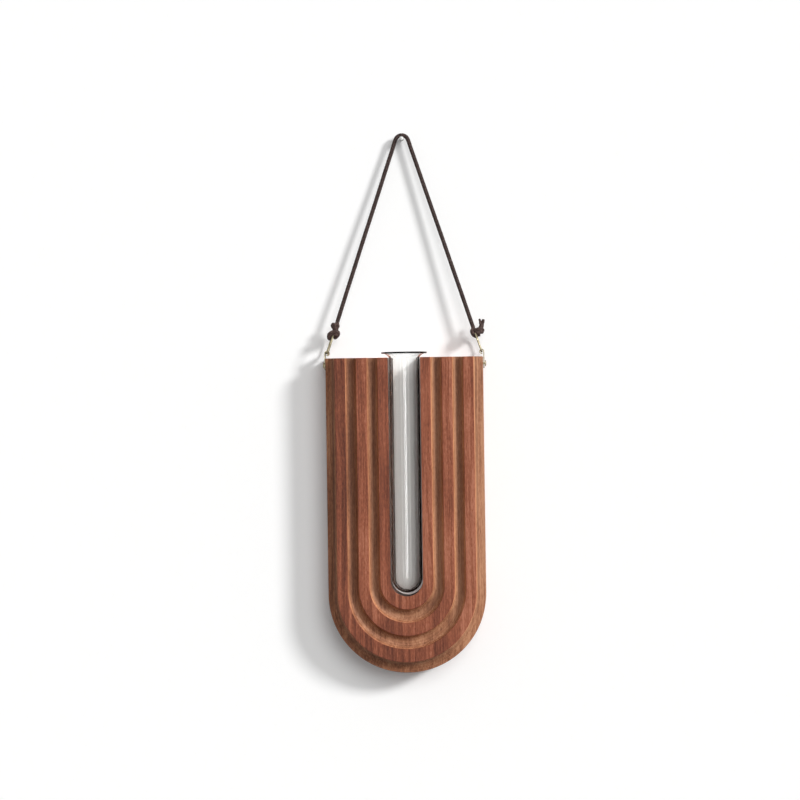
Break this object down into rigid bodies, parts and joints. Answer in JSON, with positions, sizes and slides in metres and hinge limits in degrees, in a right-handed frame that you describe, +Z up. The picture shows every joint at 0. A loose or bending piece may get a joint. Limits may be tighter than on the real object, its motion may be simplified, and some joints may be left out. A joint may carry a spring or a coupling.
{
  "type": "wooden wall vase",
  "caption": "Grooved wooden wall vase with a U slot that holds a flared glass test tube, hung by a leather cord from two small brass rings.",
  "frame": {"origin": "The point of the wall plane level with the underside of the cord's bend, where a nail carries the vase.", "axes": "+Z up, -Y out of the wall towards the viewer, +X to the viewer's right; the board's back lies in the plane Y = 0."},
  "size_m": [0.1042, 0.0297, 0.3433],
  "materials": {
    "walnut": "oiled, satin",
    "glass": "clear borosilicate, fire-polished lip",
    "brass": "plated, satin",
    "leather": "waxed round cord"
  },
  "bodies": {
    "board": {"wood_board": "walnut", "left_hanger_plate": "brass", "right_hanger_plate": "brass", "left_plate_screw": "brass", "right_plate_screw": "brass", "hanging_cord": "leather"},
    "tube": {"glass_tube": "glass"},
    "left_ring": {"left_d_ring": "brass", "left_knot": "leather"},
    "right_ring": {"right_d_ring": "brass", "right_knot": "leather"}
  },
  "joints": [
    {"name": "tube_lift", "type": "slide", "parent": "board", "child": "tube", "axis": [0, -0.2588, 0.9659], "range_m": [0, 0.16]},
    {"name": "left_ring_swing", "type": "hinge", "parent": "board", "child": "left_ring", "pos_m": [-0.0493, -0.009, -0.13755], "axis": [0, 1, 0], "range_deg": [-20, 25], "deforming": ["hanging_cord"]},
    {"name": "right_ring_swing", "type": "hinge", "parent": "board", "child": "right_ring", "pos_m": [0.0493, -0.009, -0.13755], "axis": [0, -1, 0], "range_deg": [-20, 25], "deforming": ["hanging_cord"]}
  ]
}
